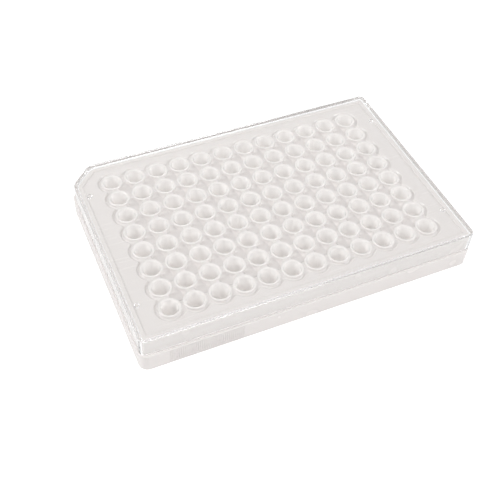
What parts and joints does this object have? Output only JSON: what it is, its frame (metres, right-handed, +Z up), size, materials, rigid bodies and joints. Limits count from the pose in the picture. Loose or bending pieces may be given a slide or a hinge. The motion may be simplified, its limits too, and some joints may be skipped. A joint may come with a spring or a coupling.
{
  "type": "well plate",
  "caption": "White microplate with a grid of open round flat-bottomed wells, a stepped foot flange and one cut corner, under a clear shallow lid that stands on its ledge.",
  "frame": {"origin": "bottom centre of the plate's foot, which is the bottom centre of the whole", "axes": "+X along the rows of twelve wells, away from column 1; +Y towards row A, so the cut corner beside well A1 is at -X, +Y; +Z up, out of the wells"},
  "size_m": [0.1278, 0.0854, 0.0159],
  "materials": {
    "white_polystyrene": "white moulded polystyrene, smooth with a soft gloss, fine upright grip ribs on the long sides of the foot",
    "clear_polystyrene": "clear moulded polystyrene, polished"
  },
  "bodies": {
    "root": {"plate": "white_polystyrene", "lid": "clear_polystyrene"}
  },
  "joints": []
}
